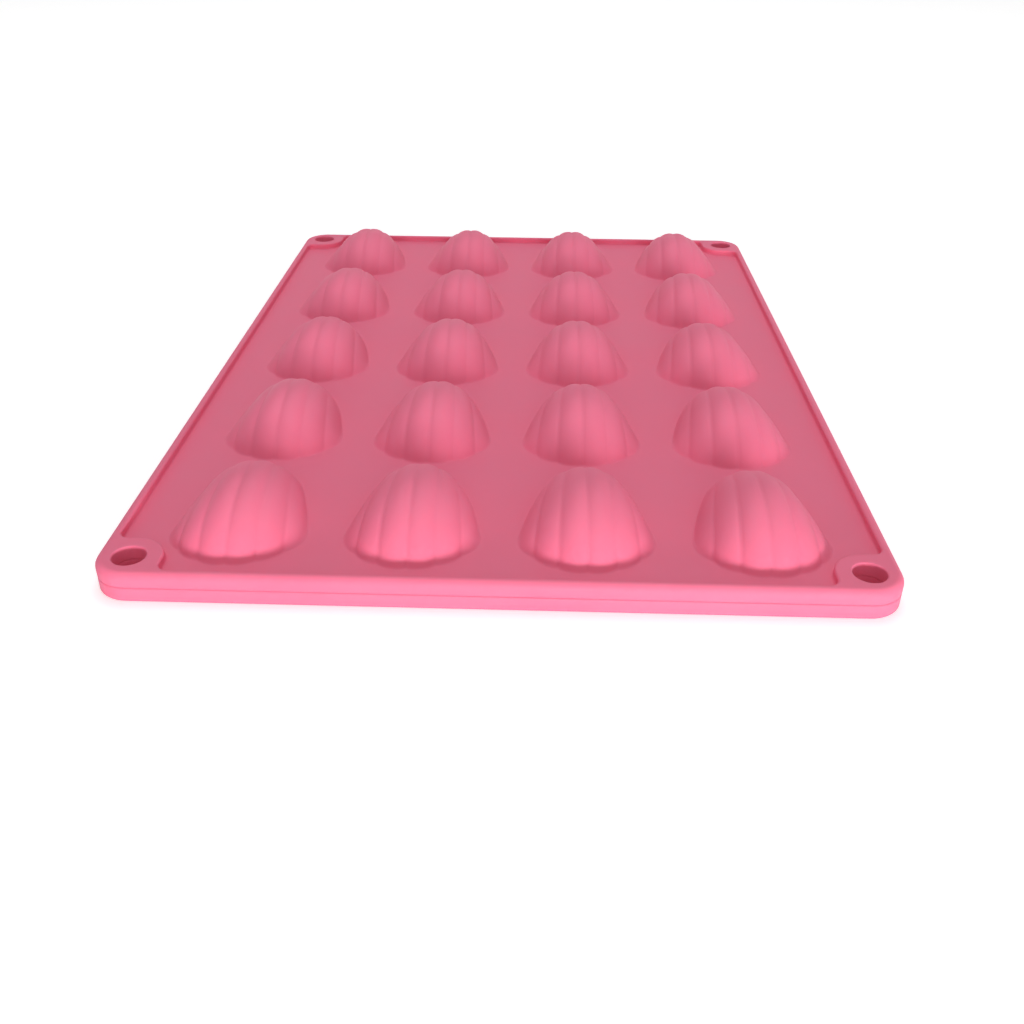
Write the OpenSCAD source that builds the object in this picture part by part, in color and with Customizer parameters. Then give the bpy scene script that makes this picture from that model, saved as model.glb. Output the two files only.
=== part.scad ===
// Two identical silicone madeleine pans, nested one on the other with their shells bulging upwards.
// Each pan is one moulding: a flat web inside a raised rim, four corner pads with hanging holes,
// and a grid of ribbed scallop shells whose hollows open downwards.

/* [Pan] */
// Width of a pan, across its columns of shells
pan_w = 212; // [206:1:260]
// Length of a pan, along its rows of shells
pan_l = 300; // [297:1:340]
// Height of the rim, which is also how far apart nested pans sit
rim_h = 4.2; // [4.0:0.1:6]
// Width of the rim's flat top
rim_w = 3; // [2:0.5:4]
// Radius of the pan's outer corners
corner_r = 10; // [8:1:13]
// Thickness of the flat web between the shells
web_t = 1.7; // [1.2:0.1:2.2]

/* [Corner holes] */
// Radius of the hanging hole in each corner
hole_r = 4.5; // [3:0.5:5]
// Distance from the pan's long side to a hole's centre
hole_side = 9; // [8:0.5:12]
// Distance from the pan's short side to a hole's centre
hole_end = 9; // [8:0.5:11]
// Radius of the thick pad round each hole
pad_r = 9; // [8:0.5:10]

/* [Shell] */
// Length of a shell, from its narrow end to its scalloped front
shell_l = 50; // [44:0.5:52.5]
// Width of a shell at its widest
shell_w = 37; // [32:0.5:39.5]
// Width of a shell at its narrow end
narrow_w = 22; // [21:0.5:25]
// Length of the rounding at a shell's narrow end
narrow_d = 5.5; // [3:0.5:6]
// Height of a shell above the web
shell_h = 13; // [11:0.5:15]
// Thickness of a shell's wall
wall_t = 1.2; // [0.8:0.1:1.4]
// Distance from the scalloped front to the widest point
front_d = 16; // [12:0.5:20]
// Depth of the grooves between ribs
groove_d = 0.6; // [0.2:0.1:0.8]
// Number of ribs on a shell
ribs = 6; // [4:2:8]
// Least gap between the shells of nested pans
nest_gap = 0.35; // [0.3:0.05:0.6]

/* [Pattern] */
// Shells across the pan
cols = 4; // [2:1:4]
// Shells along the pan
rows = 5; // [2:1:5]
// Distance between columns
pitch_x = 48; // [42:0.5:49]
// Distance between rows
pitch_y = 58.5; // [54:0.5:59]
// How much further the shells lie towards the back than the middle of the pan
back_shift = 1; // [0:0.5:1.5]

/* [Hidden] */
pans = ["lower", "upper"];
cells = [for (r = [1:rows]) for (c = [1:cols]) [r, c]];
pink = [0.96, 0.5, 0.64];
deep_pink = [0.86, 0.4, 0.55];
// Share of a shell's length that its front slope takes; the narrow end's slope takes the rest
belly = 0.57;
// How early a rib spreads out: at 0.5 it spreads evenly, and at 1 most of it at the narrow end
flare = 0.7;
// Turn of the arcs of the scalloped front and of the narrow end where they meet a shell's side
front_arc = 78;
narrow_arc = 55;
// Half the width before the grooves at its sides are cut in
half_w = shell_w / 2 + groove_d;
half_narrow = narrow_w / 2;
front_y = -shell_l / 2;
widest_y = front_y + front_d;
narrow_y = shell_l / 2 - narrow_d;
// A shell slopes at its foot so that the next pan's shell, one rim higher, clears it by nest_gap
draft = asin((wall_t + nest_gap) / rim_h);
// How far round its arc each slope of a shell has turned where it meets the web at that draft
side_turn = foot_turn(half_w);
front_turn = foot_turn(shell_l * belly);
back_turn = foot_turn(shell_l * (1 - belly));
// How far the hollow's mouth lies inside the shell's foot
mouth_in = wall_t / cos(draft) - web_t * tan(draft);
// Facets of a shell: along each rib, and across all of them
steps_along = 6;
steps_across = 2 * ribs;
circle_fn = 64;

function shell_name(pan, cell) = str(pan, "_shell_r", cell[0], "_c", cell[1]);
function cell_x(c) = (c - (cols + 1) / 2) * pitch_x;
function cell_y(r) = (r - (rows + 1) / 2) * pitch_y + back_shift;

// Turn of an arch as high as the shell that reaches this far out and meets the web at the draft
function foot_turn(reach) = acos(1 / (reach / (shell_h * tan(draft)) - 1));
// Place across a shell, from -1 to 1, for a turn s that also runs from -1 to 1
function lateral(s) = sin(s * side_turn) / sin(side_turn);
// Height of a circular arch that has turned by this much at its foot, for u from 0 to 1 outwards
function arch(u, turn) = (cos(asin(min(1, u) * sin(turn))) - cos(turn)) / (1 - cos(turn));
// 1 on a rib's crest and 0 in a groove
function crest(s) = abs(sin(90 * ribs * s));
function bezier(a, b, c, t) = (1 - t) * (1 - t) * a + 2 * t * (1 - t) * b + t * t * c;
// Height along a shell, for t from 0 at the narrow end to 1 at the front
function along(t) = t < 0.5 ? arch((0.5 - t) / 0.5, back_turn) : arch((t - 0.5) / 0.5, front_turn);

// A point of the shell's surface, drawn in by gap on every side, rising by height from z
function shell_point(s, t, gap, height, z) =
    let (u = lateral(s),
         in = gap + groove_d * (1 - crest(s)),
         fx = (half_w - in) * u,
         fy = widest_y - (widest_y - front_y - in) * arch(abs(u), front_arc),
         nx = (half_narrow - gap) * u,
         mx = nx + (fx - nx) * flare,
         ny = narrow_y + (narrow_d - gap) * arch(abs(u), narrow_arc),
         my = fy + (ny - fy) * belly)
    [bezier(nx, mx, fx, t), bezier(ny, my, fy, t),
     z + (height - groove_d * (1 - crest(s))) * arch(abs(u), side_turn) * along(t)];

// A grid of such points, one row for each place along the ribs
function shell_grid(gap, height, z) =
    [for (j = [0:steps_along]) for (i = [0:steps_across])
        shell_point(2 * i / steps_across - 1, (1 - cos(180 * j / steps_along)) / 2, gap, height, z)];

// The grid's points that lie on its edge, in order round the foot
row_n = steps_across + 1;
edge = concat([for (i = [0:steps_across]) i],
              [for (j = [1:steps_along]) j * row_n + steps_across],
              [for (i = [steps_across - 1:-1:0]) steps_along * row_n + i],
              [for (j = [steps_along - 1:-1:1]) j * row_n]);
edge_n = len(edge);
grid_n = row_n * (steps_along + 1);

outer_grid = shell_grid(0, shell_h, web_t);
inner_grid = shell_grid(mouth_in, shell_h + web_t - wall_t, 0);
foot = [for (k = edge) [outer_grid[k][0], outer_grid[k][1]]];

// Triangles over a grid whose first point has this number, facing out or in
function grid_faces(first, out) =
    [for (j = [0:steps_along - 1]) for (i = [0:steps_across - 1])
        let (a = first + j * row_n + i, b = a + 1, c = b + row_n, d = a + row_n)
        each (out ? [[a, b, c], [a, c, d]] : [[a, c, b], [a, d, c]])];
// Triangles between two rings of points
function ring_faces(upper, lower) =
    [for (k = [0:edge_n - 1])
        let (n = (k + 1) % edge_n)
        each [[upper[k], lower[n], upper[n]], [upper[k], lower[k], lower[n]]]];

// One ribbed shell with its share of the web's thickness, hollow from below
module shell(z) {
    base = [for (p = foot) [p[0], p[1], 0]];
    base_ring = [for (k = [0:edge_n - 1]) 2 * grid_n + k];
    inner_ring = [for (k = edge) grid_n + k];
    color(pink)
        translate([0, 0, z])
            polyhedron(points = concat(outer_grid, inner_grid, base),
                       faces = concat(grid_faces(0, true), grid_faces(grid_n, false),
                                      ring_faces(edge, base_ring), ring_faces(base_ring, inner_ring)),
                       convexity = 6);
}

module rounded_rect(w, l, r) {
    square([w - 2 * r, l], center = true);
    square([w, l - 2 * r], center = true);
    for (x = [-1, 1]) for (y = [-1, 1])
        translate([x * (w / 2 - r), y * (l / 2 - r)]) circle(r, $fn = circle_fn);
}

// The outline of a corner pad: round about its hole, and filled out to the rim
module pad_outline() {
    hx = pan_w / 2 - hole_side;
    hy = pan_l / 2 - hole_end;
    translate([hx, hy]) circle(pad_r, $fn = circle_fn);
    translate([hx - pad_r, hy]) square([hole_side + pad_r, hole_end]);
    translate([hx, hy - pad_r]) square([hole_side, hole_end + pad_r]);
}

// The web, rim and corner pads of one pan, with an opening under each shell
module sheet(z) {
    inner_w = pan_w - 2 * rim_w;
    inner_l = pan_l - 2 * rim_w;
    color(deep_pink)
        translate([0, 0, z])
            difference() {
                linear_extrude(rim_h) rounded_rect(pan_w, pan_l, corner_r);
                translate([0, 0, web_t])
                    linear_extrude(rim_h)
                        difference() {
                            rounded_rect(inner_w, inner_l, corner_r - rim_w);
                            for (x = [0, 1]) for (y = [0, 1])
                                mirror([x, 0]) mirror([0, y]) pad_outline();
                        }
                for (x = [-1, 1]) for (y = [-1, 1])
                    translate([x * (pan_w / 2 - hole_side), y * (pan_l / 2 - hole_end), -1])
                        cylinder(h = rim_h + 2, r = hole_r, $fn = circle_fn);
                for (k = cells)
                    translate([cell_x(k[1]), cell_y(k[0]), -1])
                        linear_extrude(web_t + 2) polygon(foot);
            }
}

for (p = [0:len(pans) - 1]) {
    z = p * rim_h;
    sheet(z);
    for (k = cells)
        translate([cell_x(k[1]), cell_y(k[0]), 0]) shell(z);
}
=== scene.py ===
# %% [markdown]
# # Two nested silicone madeleine pans
# A silicone madeleine pan is a single moulding: a thin flat web inside a thicker rim, a pad with a
# hanging hole in each corner, and a grid of scallop shells. Here two of them lie nested, upside
# down, so that the shells bulge upwards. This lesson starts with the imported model, the frame, whose
# nodes hold the true sizes. Lengths below are in metres, unless a name says otherwise.
# %% Load the frame
import math

import bmesh
import bpy
import numpy as np
from mathutils import Matrix, Vector


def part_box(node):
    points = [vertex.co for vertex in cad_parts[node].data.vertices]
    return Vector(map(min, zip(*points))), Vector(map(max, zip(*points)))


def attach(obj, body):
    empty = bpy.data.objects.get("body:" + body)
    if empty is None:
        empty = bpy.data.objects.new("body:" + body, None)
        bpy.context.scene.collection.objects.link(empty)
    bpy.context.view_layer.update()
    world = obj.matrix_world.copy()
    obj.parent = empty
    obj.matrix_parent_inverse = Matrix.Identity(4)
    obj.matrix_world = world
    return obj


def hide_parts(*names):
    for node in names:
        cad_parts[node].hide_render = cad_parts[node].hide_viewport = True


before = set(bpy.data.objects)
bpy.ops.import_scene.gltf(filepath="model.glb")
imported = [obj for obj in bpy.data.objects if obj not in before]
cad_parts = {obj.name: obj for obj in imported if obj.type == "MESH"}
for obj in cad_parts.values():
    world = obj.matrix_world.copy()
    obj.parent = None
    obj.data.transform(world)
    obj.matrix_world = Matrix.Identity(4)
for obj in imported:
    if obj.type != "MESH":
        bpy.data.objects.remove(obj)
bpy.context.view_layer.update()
MM = 0.001

# %% [markdown]
# The pan's outline, the height of its rim and the distances between its shells are read from the
# frame, so the skin can't drift from the solids. Only what no box shows is named here: how far
# back the shells lie, the web's thickness, the rim's width, the corners, the pads and holes, and
# the thickness of a shell's wall.
# %% Read the sizes
PANS = ("lower", "upper")
ROWS, COLS = 5, 4
sheet_low, sheet_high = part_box("lower_sheet")
PAN_W, PAN_L, RIM_H = sheet_high - sheet_low


def shell_box(row, col):
    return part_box(f"lower_shell_r{row}_c{col}")


first_low, first_high = shell_box(1, 1)
PITCH_X = shell_box(1, 2)[0].x - first_low.x
PITCH_Y = shell_box(2, 1)[0].y - first_low.y
BACK_SHIFT = 1.0 * MM
FIRST_Y = BACK_SHIFT - PITCH_Y * (ROWS - 1) / 2
SHELL_W = first_high.x - first_low.x
SHELL_L = 2 * (first_high.y - FIRST_Y)
WEB_T = 1.7 * MM
RIM_W = 3.0 * MM
CORNER_R = 10.0 * MM
HOLE_R = 4.5 * MM
HOLE_SIDE, HOLE_END = 9.0 * MM, 9.0 * MM
PAD_R = 9.0 * MM
WALL_T = 1.2 * MM
print(f"pan {PAN_W / MM:.1f} x {PAN_L / MM:.1f} mm")
print(f"shells {SHELL_W / MM:.1f} x {SHELL_L / MM:.1f} mm")
print(f"a shell every {PITCH_X / MM:.1f} x {PITCH_Y / MM:.1f} mm")

# %% [markdown]
# A madeleine shell is a dome over a scalloped outline. It could be sculpted from a cage of a few
# faces, but a formula gives the skin the outline of the solids. Each rib runs from the narrow end
# to its own lobe of the front, so a rib is the natural grid line: s counts across the ribs from -1
# to 1, and t runs along them from 0 to 1. A circular arch in both directions gives the dome its
# drafted sides. How steep they are follows from how two pans nest: one rim apart, wall clear of
# wall. The belly is the share of a shell's length that its front slope takes, and the flare says
# how early the ribs spread out. The grooves are 0.1 mm deeper than those of the solids.
# %% The shape of a shell
RIBS = 6
NARROW_W, NARROW_D = 22.0 * MM, 5.5 * MM
FRONT_D = 16.0 * MM
SHELL_H = 13.0 * MM
GROOVE_D = 0.7 * MM
NEST_GAP = 0.35 * MM
BELLY, FLARE = 0.57, 0.7
FRONT_ARC, NARROW_ARC = math.radians(78), math.radians(55)
HALF_W = SHELL_W / 2 + GROOVE_D
HALF_NARROW = NARROW_W / 2
WIDEST_Y = FRONT_D - SHELL_L / 2
NARROW_Y = SHELL_L / 2 - NARROW_D
DRAFT = math.asin((WALL_T + NEST_GAP) / RIM_H)
MOUTH_IN = WALL_T / math.cos(DRAFT) - WEB_T * math.tan(DRAFT)


def foot_turn(reach):
    """How far round its arc a slope this long has turned where it meets the web."""
    return math.acos(1 / (reach / (SHELL_H * math.tan(DRAFT)) - 1))


SIDE_TURN = foot_turn(HALF_W)
FRONT_TURN, BACK_TURN = foot_turn(SHELL_L * BELLY), foot_turn(SHELL_L * (1 - BELLY))
print(f"sides lean {math.degrees(DRAFT):.1f} degrees from upright")
print(f"mouth lies {MOUTH_IN / MM:.2f} mm inside the foot")

# %% [markdown]
# The same formula draws the dome seen from above and the hollow seen from below: the hollow is the
# dome drawn in by a gap on every side. NumPy works on the whole grid of points at once. A groove
# lies where the sine of s comes to nothing, and its points are both lower and nearer the middle.
# A power below one makes the ribs broad and the grooves between them narrow. The solid's facets
# cut across its crests, so both grids are lowered a little, which brings them to its height.
# %% Points of a dome
OUTER_STEPS, INNER_STEPS = (72, 26), (48, 20)
RIB_POWER = 0.7


def arch(u, turn):
    """Height of an arch of a circle, from 1 in its middle to 0 at its foot, where u is 1."""
    angle = np.arcsin(np.minimum(1.0, u) * math.sin(turn))
    return (np.cos(angle) - math.cos(turn)) / (1 - math.cos(turn))


def bezier(a, b, c, t):
    """A curve from a to c that leans towards b."""
    return (1 - t) ** 2 * a + 2 * t * (1 - t) * b + t**2 * c


def shell_grid(steps, gap, height, base):
    """Points of the dome, drawn in by gap, as an array of rows along the ribs."""
    s = np.linspace(-1, 1, steps[0] + 1)[None, :]
    t = ((1 - np.cos(np.pi * np.arange(steps[1] + 1) / steps[1])) / 2)[:, None]
    u = np.sin(s * SIDE_TURN) / math.sin(SIDE_TURN)
    groove = GROOVE_D * (1 - np.abs(np.sin(math.pi / 2 * RIBS * s)) ** RIB_POWER)
    front_x, narrow_x = (HALF_W - gap - groove) * u, (HALF_NARROW - gap) * u
    front_y = WIDEST_Y - (FRONT_D - gap - groove) * arch(np.abs(u), FRONT_ARC)
    narrow_y = NARROW_Y + (NARROW_D - gap) * arch(np.abs(u), NARROW_ARC)
    middle_x = narrow_x + (front_x - narrow_x) * FLARE
    middle_y = front_y + (narrow_y - front_y) * BELLY
    along = np.where(t < 0.5, arch(1 - 2 * t, BACK_TURN), arch(2 * t - 1, FRONT_TURN))
    x = bezier(narrow_x, middle_x, front_x, t)
    y = bezier(narrow_y, middle_y, front_y, t)
    z = base + (height - groove) * arch(np.abs(u), SIDE_TURN) * along
    return np.stack([x, y, z], axis=-1)


outer_grid = shell_grid(OUTER_STEPS, 0, SHELL_H, WEB_T)
inner_grid = shell_grid(INNER_STEPS, MOUTH_IN, SHELL_H + WEB_T - WALL_T, 0)
FIT = (first_high.z - WEB_T) / (outer_grid[..., 2].max() - WEB_T)
outer_grid[..., 2] = WEB_T + (outer_grid[..., 2] - WEB_T) * FIT
inner_grid[..., 2] *= FIT
print(f"dome's top {outer_grid[..., 2].max() / MM:.2f} mm above the pan's underside")
print(f"hollow {inner_grid[..., 2].max() / MM:.2f} mm deep")

# %% [markdown]
# Where a dome meets the web, a mould leaves a small hollow rounding, and the mouth below has a
# rounded lip. A Bevel modifier could make them, but rings of their own follow the ribs and stay
# clean quads. They come from the dome's own edge loop: the loop is pushed outwards a little at a
# time while its height falls, and the dome is lifted by a fading amount so that the slopes meet. A
# last ring lies flat on the web, so that the shading of the flat isn't bent by the rounding.
# %% Roundings round a shell
FOOT_RISE, FOOT_FADE, FOOT_REACH = 0.3 * MM, 0.5 * MM, 0.6 * MM
LIP_RISE, LIP_FADE, LIP_REACH = 0.25 * MM, 0.4 * MM, 0.35 * MM
ROUND_STEPS = 3
FLAT_RING = 0.12 * MM


def edge_loop(grid):
    """The grid's border points, in order, starting at the narrow end."""
    return np.concatenate([grid[0, :], grid[1:, -1], grid[-1, -2::-1], grid[-2:0:-1, 0]])


def pushed_out(loop, distance):
    """The loop moved outwards in plan along its own normals."""
    run = (np.roll(loop, -1, axis=0) - np.roll(loop, 1, axis=0))[:, :2]
    normal = np.stack([-run[:, 1], run[:, 0]], axis=1)
    normal /= np.linalg.norm(normal, axis=1)[:, None]
    centre = loop[:, :2].mean(axis=0)
    if np.sum((loop[:, :2] - centre) * normal) < 0:
        normal = -normal
    moved = loop.copy()
    moved[:, :2] += normal * distance
    return moved


def rounded_foot(grid, base, rise, fade, reach):
    """Lifts the dome near its foot and returns the rings that carry it down to the base."""
    height = grid[..., 2] - base
    grid[..., 2] = base + height + rise * np.exp(-height / fade)
    loop = edge_loop(grid)
    rings = []
    for step in range(1, ROUND_STEPS + 1):
        part = step / ROUND_STEPS
        ring = pushed_out(loop, reach * part)
        ring[:, 2] = base + rise * (1 - part) ** 2
        rings.append(ring)
    rings.append(pushed_out(rings[-1], FLAT_RING))
    return rings


outer_rings = rounded_foot(outer_grid, WEB_T, FOOT_RISE, FOOT_FADE, FOOT_REACH)
inner_rings = rounded_foot(inner_grid, 0.0, LIP_RISE, LIP_FADE, LIP_REACH)
print("a shell's foot has", len(outer_rings[-1]), "points round it")

# %% [markdown]
# The two grids and their rings become one open mesh: the dome seen from above and the hollow seen
# from below. It stays open at the web, because the sheet of the pan will close it.
# %% Mesh of one shell


def add_points(mesh, points):
    """New vertices of a mesh, one at each point."""
    return [mesh.verts.new(p) for p in points]


def add_band(mesh, ring_a, ring_b):
    """Quads between two closed rings of as many points."""
    for k in range(len(ring_a)):
        n = (k + 1) % len(ring_a)
        mesh.faces.new([ring_a[k], ring_b[k], ring_b[n], ring_a[n]])


def add_dome(mesh, grid, rings):
    """A grid's quads, and the bands from its edge through the rings."""
    verts = [add_points(mesh, row) for row in grid]
    for row, next_row in zip(verts, verts[1:]):
        for i in range(len(row) - 1):
            mesh.faces.new([row[i], row[i + 1], next_row[i + 1], next_row[i]])
    edge = verts[0] + [row[-1] for row in verts[1:]]
    edge += verts[-1][-2::-1] + [row[0] for row in verts[-2:0:-1]]
    for ring in rings:
        next_edge = add_points(mesh, ring)
        add_band(mesh, edge, next_edge)
        edge = next_edge


def new_object(name, mesh):
    """Puts a finished bmesh into the scene as an object."""
    data = bpy.data.meshes.new(name)
    mesh.to_mesh(data)
    mesh.free()
    item = bpy.data.objects.new(name, data)
    bpy.context.scene.collection.objects.link(item)
    return item


shell_mesh = bmesh.new()
add_dome(shell_mesh, outer_grid, outer_rings)
add_dome(shell_mesh, inner_grid, inner_rings)
shell_source = new_object("shell_source", shell_mesh)
print("one shell has", len(shell_source.data.polygons), "faces")

# %% [markdown]
# The sheet could be cut out of a block by Booleans, but those leave slivers along every edge, so it
# is built from the loops that bound it, which are straight runs and arcs. An arc's centre stays put
# when its loop is offset and only its radius changes, so every loop has the same number of points
# at any offset, and rings at growing offsets make clean roundings with no crossing edges.
# %% Loops of the sheet
ARC_STEPS = 12
HOLE_STEPS = 48
PAD_FILLET = 3.0 * MM
HOLE_X, HOLE_Y = PAN_W / 2 - HOLE_SIDE, PAN_L / 2 - HOLE_END
CORNERS = ((-1, -1), (-1, 1), (1, 1), (1, -1))


def arc(centre, radius, start, end, steps=ARC_STEPS):
    """Points round a centre, from one angle in degrees to another."""
    angles = np.radians(np.linspace(start, end, steps + 1))
    x, y = centre[0] + radius * np.cos(angles), centre[1] + radius * np.sin(angles)
    return np.stack([x, y], axis=1)


def from_corners(corner):
    """A whole loop from the points round its front left corner, mirrored to the other three."""
    parts = []
    for side, end in CORNERS:
        part = corner * np.array([-side, -end])
        parts.append(part if side == end else part[::-1])
    return np.concatenate(parts)


def outer_loop(inset):
    """The pan's outline, drawn in by an inset."""
    centre = (CORNER_R - PAN_W / 2, CORNER_R - PAN_L / 2)
    return from_corners(arc(centre, CORNER_R - inset, 270, 180))


def inner_loop(inset):
    """The rim's inner edge, which also goes round the corner pads."""
    left, front = RIM_W - PAN_W / 2, RIM_W - PAN_L / 2
    radius = PAD_FILLET - inset
    corner = [
        arc((PAD_R - HOLE_X + PAD_FILLET, front + PAD_FILLET), radius, 270, 180),
        arc((-HOLE_X, -HOLE_Y), PAD_R + inset, 0, 90),
        arc((left + PAD_FILLET, PAD_R - HOLE_Y + PAD_FILLET), radius, 270, 180),
    ]
    return from_corners(np.concatenate(corner))


def hole_loop(grow, side, end):
    """The corner hole on this side and at this end, widened a little."""
    return arc((side * HOLE_X, end * HOLE_Y), HOLE_R + grow, 0, 360, HOLE_STEPS)[:-1]


print("the rim's loops have", len(outer_loop(0)), "and", len(inner_loop(0)), "points")

# %% [markdown]
# Silicone has no sharp edges: the mould rounds each one. A profile lists offset and height along
# a wall, with a quarter turn at both ends and a little flat beyond it, and the walls are bands
# between the loops at each step of the profile. The upper pan's rim is rounder at its top, where
# the light rolls over it, and the lower pan's is crisper, which keeps the line between them thin.
# %% Profiles of the walls
TOP_ROUND = {"lower": 0.7 * MM, "upper": 2.0 * MM}
BOTTOM_ROUND, STEP_ROUND, HOLE_ROUND = 0.4 * MM, 0.7 * MM, 0.5 * MM
TURN_STEPS = 8


def quarter(radius):
    """Offset and height from the flat, round a quarter turn, to the upright wall."""
    turns = [math.pi / 2 * k / TURN_STEPS for k in range(TURN_STEPS + 1)]
    bend = [(radius * (1 - math.sin(a)), radius * (1 - math.cos(a))) for a in turns]
    return [(radius + FLAT_RING, 0.0)] + bend


def wall_profile(bottom_round, top_round):
    """A wall that rounds away from its flats at the bottom and at the top of the rim."""
    bottom = quarter(bottom_round)
    top = [(inset, RIM_H - drop) for inset, drop in quarter(top_round)]
    return bottom + top[::-1]


OUTER_PROFILE = {pan: wall_profile(BOTTOM_ROUND, TOP_ROUND[pan]) for pan in PANS}
HOLE_PROFILE = wall_profile(HOLE_ROUND, HOLE_ROUND)
STEP_PROFILE = [(-inset, RIM_H - drop) for inset, drop in quarter(STEP_ROUND)]
STEP_PROFILE += [(inset, WEB_T + rise) for inset, rise in quarter(STEP_ROUND)[::-1]]
print("a wall has", len(HOLE_PROFILE), "rings")

# %% [markdown]
# The flats are filled between the loops: the rim's top between its roundings and the corner holes,
# the web between the rim and the feet of the shells, and the underside between its lips.
# %% Mesh of the sheet


def add_wall(mesh, loop_at, profile):
    """Bands through a profile, returning the points of its first and its last ring."""
    rings = [add_points(mesh, [(x, y, z) for x, y in loop_at(offset)]) for offset, z in profile]
    for ring_a, ring_b in zip(rings, rings[1:]):
        add_band(mesh, ring_a, ring_b)
    return rings[0], rings[-1]


def fill_flat(mesh, rings):
    """Fills the flat between an outer ring and the rings inside it."""
    edges = []
    for ring in rings:
        for a, b in zip(ring, ring[1:] + ring[:1]):
            edges.append(mesh.edges.get((a, b)) or mesh.edges.new((a, b)))
    made = bmesh.ops.triangle_fill(mesh, use_beauty=True, use_dissolve=False, edges=edges)
    return sum(isinstance(item, bmesh.types.BMFace) for item in made["geom"])


def shell_rings(mesh, ring):
    """A ring of points under each shell of the pan."""
    first = Vector((-PITCH_X * (COLS - 1) / 2, FIRST_Y))
    rings = []
    for row in range(ROWS):
        for col in range(COLS):
            x, y = col * PITCH_X, row * PITCH_Y
            moved = [(p[0] + first.x + x, p[1] + first.y + y, p[2]) for p in ring]
            rings.append(add_points(mesh, moved))
    return rings


def sheet_mesh(pan):
    """The web, rim and pads of one pan, open where its shells will sit."""
    mesh = bmesh.new()
    wall_bottom, wall_top = add_wall(mesh, outer_loop, OUTER_PROFILE[pan])
    step_top, step_bottom = add_wall(mesh, inner_loop, STEP_PROFILE)
    holes = [
        add_wall(mesh, lambda grow: hole_loop(grow, *corner), HOLE_PROFILE) for corner in CORNERS
    ]
    hole_bottoms, hole_tops = zip(*holes)
    top = fill_flat(mesh, [wall_top, step_top, *hole_tops])
    web = fill_flat(mesh, [step_bottom, *shell_rings(mesh, outer_rings[-1])])
    under = fill_flat(mesh, [wall_bottom, *hole_bottoms, *shell_rings(mesh, inner_rings[-1])])
    print(pan, "pan's flats have", top, "faces on the rim,", web, "on the web,", under, "below")
    return mesh


sheets = {pan: new_object(pan + "_pan_skin", sheet_mesh(pan)) for pan in PANS}

# %% [markdown]
# Silicone straight from the mould has a soft satin face. Its grain is the fine texture of the
# mould, its tone drifts a little where the pigment mixed unevenly, and its gloss differs from patch
# to patch. The grain is a node group with named inputs, because it serves more than one socket.
# %% Grain of moulded silicone
GRAINS_PER_M, GRAIN_DETAIL = 1500.0, 2.0
PATCHES_PER_M, PATCH_DETAIL = 35.0, 3.0


def add_socket(group, name, way, kind):
    return group.interface.new_socket(name=name, in_out=way, socket_type="NodeSocket" + kind)


def grain_group():
    """A fine grain and broad patches, each as a value that changes over the surface."""
    group = bpy.data.node_groups.new("moulded_grain", "ShaderNodeTree")
    add_socket(group, "Place", "INPUT", "Vector")
    for name, value in (("Grains per metre", GRAINS_PER_M), ("Patches per metre", PATCHES_PER_M)):
        add_socket(group, name, "INPUT", "Float").default_value = value
    for name in ("Grain", "Patch"):
        add_socket(group, name, "OUTPUT", "Float")
    ins, outs = group.nodes.new("NodeGroupInput"), group.nodes.new("NodeGroupOutput")
    for scale, output, detail in (
        ("Grains per metre", "Grain", GRAIN_DETAIL),
        ("Patches per metre", "Patch", PATCH_DETAIL),
    ):
        noise = group.nodes.new("ShaderNodeTexNoise")
        noise.inputs["Detail"].default_value = detail
        group.links.new(ins.outputs["Place"], noise.inputs["Vector"])
        group.links.new(ins.outputs[scale], noise.inputs["Scale"])
        group.links.new(noise.outputs["Fac"], outs.inputs[output])
    return group


GRAIN = grain_group()
print("group", GRAIN.name, "has", len(GRAIN.nodes), "nodes")

# %% [markdown]
# The material itself keeps the shader. Light enters silicone a little way before it comes out
# again, red furthest, which softens the edges, so a small share of subsurface scattering is set.
# The patches blend a pale and a deep pink, and two roughnesses, and the grain is only a faint bump,
# because it is far too fine for geometry.
# %% Pink silicone
PALE_PINK = (0.92, 0.200, 0.320, 1.0)
DEEP_PINK = (0.84, 0.155, 0.270, 1.0)
PATCH_RANGE, ROUGHNESS_RANGE = (0.3, 0.7), (0.55, 0.7)
GRAIN_STRENGTH, GRAIN_DEPTH = 0.12, 0.1 * MM
SPECULAR_LEVEL = 0.35
SCATTER_SHARE, SCATTER_DEPTH = 0.3, 1.0 * MM
SCATTER_BY_COLOUR = (1.0, 0.35, 0.45)


def ramp_node(nodes, from_range, to_range):
    """A node that carries one range of values evenly over to another."""
    ramp = nodes.new("ShaderNodeMapRange")
    for side, (low, high) in (("From", from_range), ("To", to_range)):
        ramp.inputs[side + " Min"].default_value = low
        ramp.inputs[side + " Max"].default_value = high
    return ramp


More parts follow.
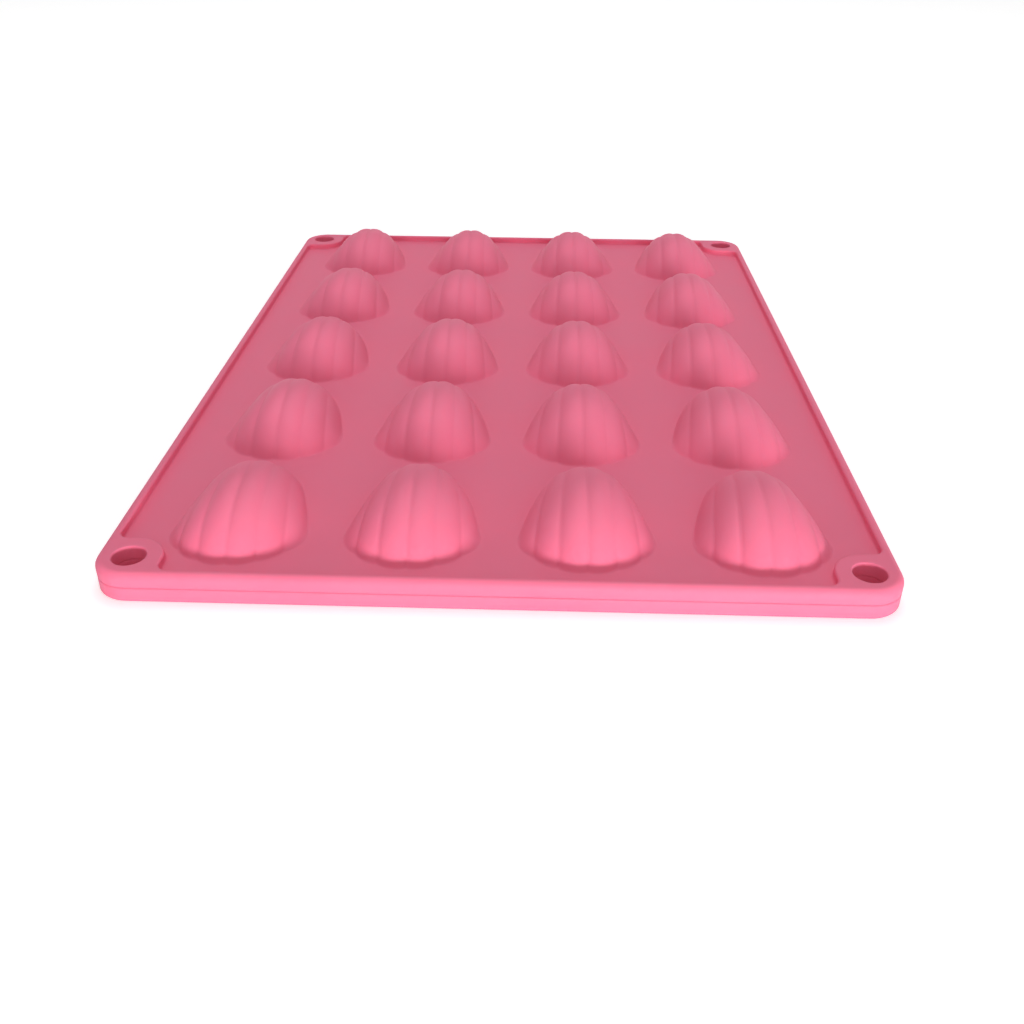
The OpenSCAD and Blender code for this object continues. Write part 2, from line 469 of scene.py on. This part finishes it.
def silicone():
    material = bpy.data.materials.new("pink_silicone")
    material.use_nodes = True
    nodes, links = material.node_tree.nodes, material.node_tree.links
    shader = nodes["Principled BSDF"]
    place = nodes.new("ShaderNodeTexCoord")
    grain = nodes.new("ShaderNodeGroup")
    grain.node_tree = GRAIN
    links.new(place.outputs["Object"], grain.inputs["Place"])
    tone = nodes.new("ShaderNodeMix")
    tone.data_type = "RGBA"
    tone.inputs["A"].default_value, tone.inputs["B"].default_value = DEEP_PINK, PALE_PINK
    links.new(grain.outputs["Patch"], tone.inputs["Factor"])
    links.new(tone.outputs["Result"], shader.inputs["Base Color"])
    gloss = ramp_node(nodes, PATCH_RANGE, ROUGHNESS_RANGE)
    links.new(grain.outputs["Patch"], gloss.inputs["Value"])
    links.new(gloss.outputs["Result"], shader.inputs["Roughness"])
    bump = nodes.new("ShaderNodeBump")
    bump.inputs["Strength"].default_value = GRAIN_STRENGTH
    bump.inputs["Distance"].default_value = GRAIN_DEPTH
    links.new(grain.outputs["Grain"], bump.inputs["Height"])
    links.new(bump.outputs["Normal"], shader.inputs["Normal"])
    shader.inputs["Specular IOR Level"].default_value = SPECULAR_LEVEL
    shader.inputs["Subsurface Weight"].default_value = SCATTER_SHARE
    shader.inputs["Subsurface Radius"].default_value = SCATTER_BY_COLOUR
    shader.inputs["Subsurface Scale"].default_value = SCATTER_DEPTH
    return material


PINK = silicone()
for node_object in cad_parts.values():
    node_object.data.materials.clear()
    node_object.data.materials.append(PINK)
print("material", PINK.name, "is on", len(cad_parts), "nodes of the frame")

# %% [markdown]
# The twenty shells are one shape repeated, which is work for Geometry Nodes. The tree takes the
# sheet as its geometry, sets the shell on a grid of points that lies a little towards the back,
# realizes the copies, welds their feet to the sheet and lifts the pan to where it lies in the nest.
# %% Tree that repeats the shells
INPUTS = (
    ("Shell", "Object"),
    ("Columns", "Int"),
    ("Rows", "Int"),
    ("Column pitch", "Float"),
    ("Row pitch", "Float"),
    ("Back shift", "Float"),
    ("Lift", "Float"),
    ("Weld", "Float"),
    ("Material", "Material"),
)


def math_node(tree, operation, a, b):
    """The result of an operation on two sockets, or on a socket and a plain number."""
    node = tree.nodes.new("ShaderNodeMath")
    node.operation = operation
    for socket, value in zip(node.inputs, (a, b)):
        if isinstance(value, float):
            socket.default_value = value
        else:
            tree.links.new(value, socket)
    return node.outputs[0]


def repeat_tree():
    tree = bpy.data.node_groups.new("repeat_shells", "GeometryNodeTree")
    add_socket(tree, "Geometry", "INPUT", "Geometry")
    for name, kind in INPUTS:
        add_socket(tree, name, "INPUT", kind)
    add_socket(tree, "Geometry", "OUTPUT", "Geometry")
    names = ("MeshGrid", "ObjectInfo", "InstanceOnPoints", "JoinGeometry", "RealizeInstances")
    names += ("SetPosition", "MergeByDistance", "Transform", "SetMaterial")
    node = {name: tree.nodes.new("GeometryNode" + name) for name in names}
    ins, outs = tree.nodes.new("NodeGroupInput"), tree.nodes.new("NodeGroupOutput")
    lift, shift = (tree.nodes.new("ShaderNodeCombineXYZ") for _ in range(2))
    for axis, count, pitch in (("X", "Columns", "Column pitch"), ("Y", "Rows", "Row pitch")):
        gaps = math_node(tree, "SUBTRACT", ins.outputs[count], 1.0)
        size = math_node(tree, "MULTIPLY", gaps, ins.outputs[pitch])
        tree.links.new(size, node["MeshGrid"].inputs["Size " + axis])
        tree.links.new(ins.outputs[count], node["MeshGrid"].inputs["Vertices " + axis])
    for source, target in (
        (ins.outputs["Shell"], node["ObjectInfo"].inputs["Object"]),
        (node["MeshGrid"].outputs["Mesh"], node["SetPosition"].inputs["Geometry"]),
        (ins.outputs["Back shift"], shift.inputs["Y"]),
        (shift.outputs["Vector"], node["SetPosition"].inputs["Offset"]),
        (node["SetPosition"].outputs["Geometry"], node["InstanceOnPoints"].inputs["Points"]),
        (node["ObjectInfo"].outputs["Geometry"], node["InstanceOnPoints"].inputs["Instance"]),
        (ins.outputs["Geometry"], node["JoinGeometry"].inputs["Geometry"]),
        (node["InstanceOnPoints"].outputs["Instances"], node["JoinGeometry"].inputs["Geometry"]),
        (node["JoinGeometry"].outputs["Geometry"], node["RealizeInstances"].inputs["Geometry"]),
        (node["RealizeInstances"].outputs["Geometry"], node["MergeByDistance"].inputs["Geometry"]),
        (ins.outputs["Weld"], node["MergeByDistance"].inputs["Distance"]),
        (node["MergeByDistance"].outputs["Geometry"], node["Transform"].inputs["Geometry"]),
        (ins.outputs["Lift"], lift.inputs["Z"]),
        (lift.outputs["Vector"], node["Transform"].inputs["Translation"]),
        (node["Transform"].outputs["Geometry"], node["SetMaterial"].inputs["Geometry"]),
        (ins.outputs["Material"], node["SetMaterial"].inputs["Material"]),
        (node["SetMaterial"].outputs["Geometry"], outs.inputs["Geometry"]),
    ):
        tree.links.new(source, target)
    return tree


REPEAT = repeat_tree()
print("tree", REPEAT.name, "has", len(REPEAT.nodes), "nodes")

# %% [markdown]
# Each pan runs the tree once and keeps the result as a plain mesh. Its faces are turned to point
# outwards and shaded smooth, and an edge with other than two faces would show a hole in the skin.
# %% Make the two pans
WELD = 0.002 * MM
ML_PER_M3 = 1e6


def run_tree(item, values):
    """Runs the repeating tree on an object and leaves its result as the object's mesh."""
    modifier = item.modifiers.new("repeat", "NODES")
    modifier.node_group = REPEAT
    for socket in REPEAT.interface.items_tree:
        if socket.in_out == "INPUT" and socket.name in values:
            modifier[socket.identifier] = values[socket.name]
    evaluated = item.evaluated_get(bpy.context.evaluated_depsgraph_get())
    item.data = bpy.data.meshes.new_from_object(evaluated)
    item.modifiers.remove(modifier)


def finish_skin(item):
    """Turns the faces outwards, shades them smooth and counts the open edges."""
    mesh = bmesh.new()
    mesh.from_mesh(item.data)
    bmesh.ops.recalc_face_normals(mesh, faces=mesh.faces)
    for face in mesh.faces:
        face.smooth = True
    open_edges = sum(not edge.is_manifold for edge in mesh.edges)
    volume = mesh.calc_volume(signed=True)
    mesh.to_mesh(item.data)
    mesh.free()
    triangles = sum(len(face.vertices) - 2 for face in item.data.polygons)
    print(f"{item.name}: {triangles} triangles, {open_edges} open edges")
    print(f"its silicone takes up {volume * ML_PER_M3:.1f} ml")


def make_pan(item, lift):
    """Makes a sheet into a whole pan, this far above the lowest one."""
    values = {
        "Shell": shell_source,
        "Columns": COLS,
        "Rows": ROWS,
        "Column pitch": PITCH_X,
        "Row pitch": PITCH_Y,
        "Back shift": BACK_SHIFT,
        "Lift": lift,
        "Weld": WELD,
        "Material": PINK,
    }
    run_tree(item, values)
    finish_skin(item)
    return item


pan_skins = {pan: make_pan(sheets[pan], level * RIM_H) for level, pan in enumerate(PANS)}
bpy.data.objects.remove(shell_source)

# %% [markdown]
# Each skin moves with its pan's body and stands for the sheet and the twenty shells of that pan,
# which stay in the frame for collision but aren't shown.
# %% Tie the skins to the frame
for pan, skin in pan_skins.items():
    members = [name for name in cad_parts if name.startswith(pan + "_")]
    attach(skin, pan + "_pan")
    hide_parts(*members)
    print(skin.name, "stands for", len(members), "nodes")

# %% [markdown]
# The floor is plain and pale. To the camera and in reflections it also glows a little, so that it
# looks nearly white while the lamps stay at a plain level, and it keeps the pans' shadow. The light
# path tells which rays those are.
# %% Floor
FLOOR_SIZE = 6.0
PALE_GREY, WHITE = (0.9, 0.9, 0.9, 1.0), (1.0, 1.0, 1.0, 1.0)
FLOOR_ROUGHNESS = 0.7
FLOOR_GLOW = 0.42
UNSEEN_TO_SEEN = (0.0, 1.0)
floor_mesh = bmesh.new()
bmesh.ops.create_grid(floor_mesh, x_segments=1, y_segments=1, size=FLOOR_SIZE / 2)
floor = new_object("floor", floor_mesh)


def seen_directly(nodes, links):
    """1 for the camera and in reflections, and 0 for the light that falls on the pans."""
    path, seen = nodes.new("ShaderNodeLightPath"), nodes.new("ShaderNodeMath")
    seen.operation = "MAXIMUM"
    links.new(path.outputs["Is Camera Ray"], seen.inputs[0])
    links.new(path.outputs["Is Glossy Ray"], seen.inputs[1])
    return seen.outputs[0]


def floor_material():
    material = bpy.data.materials.new("pale_floor")
    material.use_nodes = True
    nodes, links = material.node_tree.nodes, material.node_tree.links
    shader = nodes["Principled BSDF"]
    shader.inputs["Base Color"].default_value = PALE_GREY
    shader.inputs["Roughness"].default_value = FLOOR_ROUGHNESS
    shader.inputs["Emission Color"].default_value = WHITE
    glow = ramp_node(nodes, UNSEEN_TO_SEEN, (0.0, FLOOR_GLOW))
    links.new(seen_directly(nodes, links), glow.inputs["Value"])
    links.new(glow.outputs["Result"], shader.inputs["Emission Strength"])
    return material


floor.data.materials.append(floor_material())
print("floor is", FLOOR_SIZE, "m wide")

# %% [markdown]
# The photograph's light comes from low in front and a little to the right, so that the fronts of
# the shells and of the rim are brighter than the flats, and the rim shades the feet behind it. A
# broad, low lamp stands there, and a weaker one higher up brightens the shaded feet and the holes.
# A soft one hangs above, and an even white world fills the shadows. Behind the floor's far edge the
# camera sees that world as plain white.
# %% Lamps and world
KEY_DISTANCE, KEY_SIDE, KEY_RISE = 1.2, 15.0, 3.5
KEY_POWER, KEY_WIDTH, KEY_HEIGHT = 12.5, 1.1, 0.14
FILL_DISTANCE, FILL_SIDE, FILL_RISE = 2.0, 5.0, 28.0
FILL_POWER, FILL_WIDTH, FILL_HEIGHT = 5.5, 2.0, 1.0
TOP_DISTANCE, TOP_SIDE, TOP_RISE = 2.5, 180.0, 72.0
TOP_POWER, TOP_WIDTH, TOP_HEIGHT = 20.5, 1.5, 1.5
WORLD_LEVEL = 0.30


def lamp(name, distance, side, rise, power, width, height):
    """A flat lamp that looks at the pans from side degrees to the right and rise degrees up."""
    item = bpy.data.objects.new(name, bpy.data.lights.new(name, "AREA"))
    item.data.shape = "RECTANGLE"
    item.data.energy, item.data.size, item.data.size_y = power, width, height
    turn, tilt = math.radians(side), math.radians(rise)
    across, back = math.sin(turn) * math.cos(tilt), -math.cos(turn) * math.cos(tilt)
    direction = Vector((across, back, math.sin(tilt)))
    item.location = direction * distance
    item.rotation_euler = direction.to_track_quat("Z", "Y").to_euler()
    bpy.context.scene.collection.objects.link(item)


lamp("key", KEY_DISTANCE, KEY_SIDE, KEY_RISE, KEY_POWER, KEY_WIDTH, KEY_HEIGHT)
lamp("fill", FILL_DISTANCE, FILL_SIDE, FILL_RISE, FILL_POWER, FILL_WIDTH, FILL_HEIGHT)
lamp("top", TOP_DISTANCE, TOP_SIDE, TOP_RISE, TOP_POWER, TOP_WIDTH, TOP_HEIGHT)


def white_world():
    """White where it is seen directly, and a soft even light on the pans."""
    world = bpy.data.worlds.new("studio")
    world.use_nodes = True
    nodes, links = world.node_tree.nodes, world.node_tree.links
    nodes["Background"].inputs["Color"].default_value = WHITE
    level = ramp_node(nodes, UNSEEN_TO_SEEN, (WORLD_LEVEL, 1.0))
    links.new(seen_directly(nodes, links), level.inputs["Value"])
    links.new(level.outputs["Result"], nodes["Background"].inputs["Strength"])
    return world


bpy.context.scene.world = white_world()
print("lamps of", KEY_POWER, FILL_POWER, "and", TOP_POWER, "W")

# %% [markdown]
# The camera was fitted to the pan's edges and rows of shells: where it stands, which way it looks,
# how it is rolled, and its focal length in pixels of the photograph's width.
# %% Camera
IMAGE_WIDTH_PX = 1024
FOCAL_PX = 1055.2
CAMERA_PLACE = Vector((10.2, -369.7, 162.8)) * MM
YAW, PITCH, ROLL = math.radians(-1.56), math.radians(31.18), math.radians(0.445)
SENSOR_MM = 36.0


def camera_turn(yaw, pitch, roll):
    """The camera's turn from a yaw to the right, a pitch down and a roll."""
    across, ahead = math.sin(yaw) * math.cos(pitch), math.cos(yaw) * math.cos(pitch)
    forward = Vector((across, ahead, -math.sin(pitch)))
    level = Vector((math.cos(yaw), -math.sin(yaw), 0))
    upright = level.cross(forward)
    right = math.cos(roll) * level + math.sin(roll) * upright
    up = math.cos(roll) * upright - math.sin(roll) * level
    return Matrix((right, up, -forward)).transposed().to_4x4()


camera = bpy.data.objects.new("camera", bpy.data.cameras.new("camera"))
camera.data.sensor_width = SENSOR_MM
camera.data.lens = SENSOR_MM * FOCAL_PX / IMAGE_WIDTH_PX
camera.matrix_world = Matrix.Translation(CAMERA_PLACE) @ camera_turn(YAW, PITCH, ROLL)
bpy.context.scene.collection.objects.link(camera)
bpy.context.scene.camera = camera
bpy.context.scene.view_settings.view_transform = "Standard"
print(f"lens {camera.data.lens:.1f} mm")
